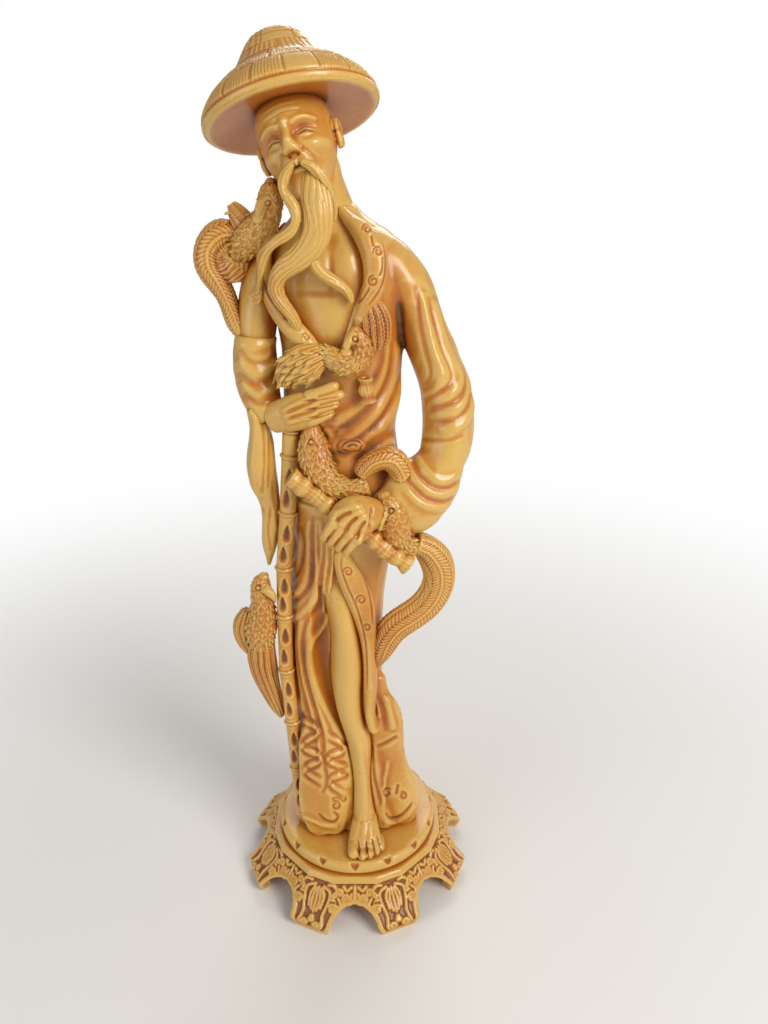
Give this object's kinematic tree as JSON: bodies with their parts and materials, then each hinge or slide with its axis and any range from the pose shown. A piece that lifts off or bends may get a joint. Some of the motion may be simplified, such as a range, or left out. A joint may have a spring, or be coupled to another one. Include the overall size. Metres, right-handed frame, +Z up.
{
  "type": "okimono carving",
  "caption": "Standing carved figure of an old man in a woven hat with a bamboo staff, a flute and plumed birds, on a flared plinth with arched feet.",
  "frame": {"origin": "middle of the plinth on the surface it stands on", "axes": "+Z up along the figure, +X to the viewer's right seen from the front, +Y away from the viewer"},
  "size_m": [0.1359, 0.135, 0.4567],
  "materials": {
    "carved_feathers": "gloss",
    "carved_skin": "gloss",
    "carved_cloth": "gloss",
    "carved_hair": "gloss",
    "carved_bamboo": "gloss",
    "carved_plinth": "gloss",
    "carved_straw": "gloss",
    "peg_wood": "satin"
  },
  "bodies": {
    "root": {"arm_pegs": "peg_wood", "bamboo_staff": "carved_bamboo", "beard": "carved_hair", "beard_lock": "carved_hair", "bird_pegs": "peg_wood", "chest": "carved_skin", "chest_bird": "carved_feathers", "chest_bird_tail": "carved_feathers", "chest_bird_wing": "carved_feathers", "collar_left": "carved_cloth", "collar_right": "carved_cloth", "disc_dowels": "peg_wood", "figure_dowels": "peg_wood", "flute": "carved_bamboo", "hand_pegs": "peg_wood", "hanging_sleeve": "carved_cloth", "hat": "carved_straw", "hat_peg": "peg_wood", "head": "carved_skin", "hem_panel_left": "carved_cloth", "hem_panel_right": "carved_cloth", "hip_bird": "carved_feathers", "hip_bird_tail": "carved_feathers", "left_cuff": "carved_cloth", "left_hand": "carved_skin", "left_sleeve": "carved_cloth", "leg": "carved_skin", "low_bird": "carved_feathers", "low_bird_tail": "carved_feathers", "low_bird_wing": "carved_feathers", "lower_robe": "carved_cloth", "moustache_left": "carved_hair", "moustache_right": "carved_hair", "neck_peg": "peg_wood", "plinth": "carved_plinth", "plinth_disc": "carved_plinth", "right_arm": "carved_skin", "right_hand": "carved_skin", "right_sleeve": "carved_cloth", "robe_border": "carved_cloth", "short_pipe": "carved_bamboo", "shoulder_bird": "carved_feathers", "shoulder_bird_tail": "carved_feathers", "staff_pin": "peg_wood", "upper_robe": "carved_cloth", "waist_bird": "carved_feathers", "waist_bird_tail": "carved_feathers", "waist_dowel": "peg_wood", "waist_toggle": "carved_feathers"}
  },
  "joints": []
}
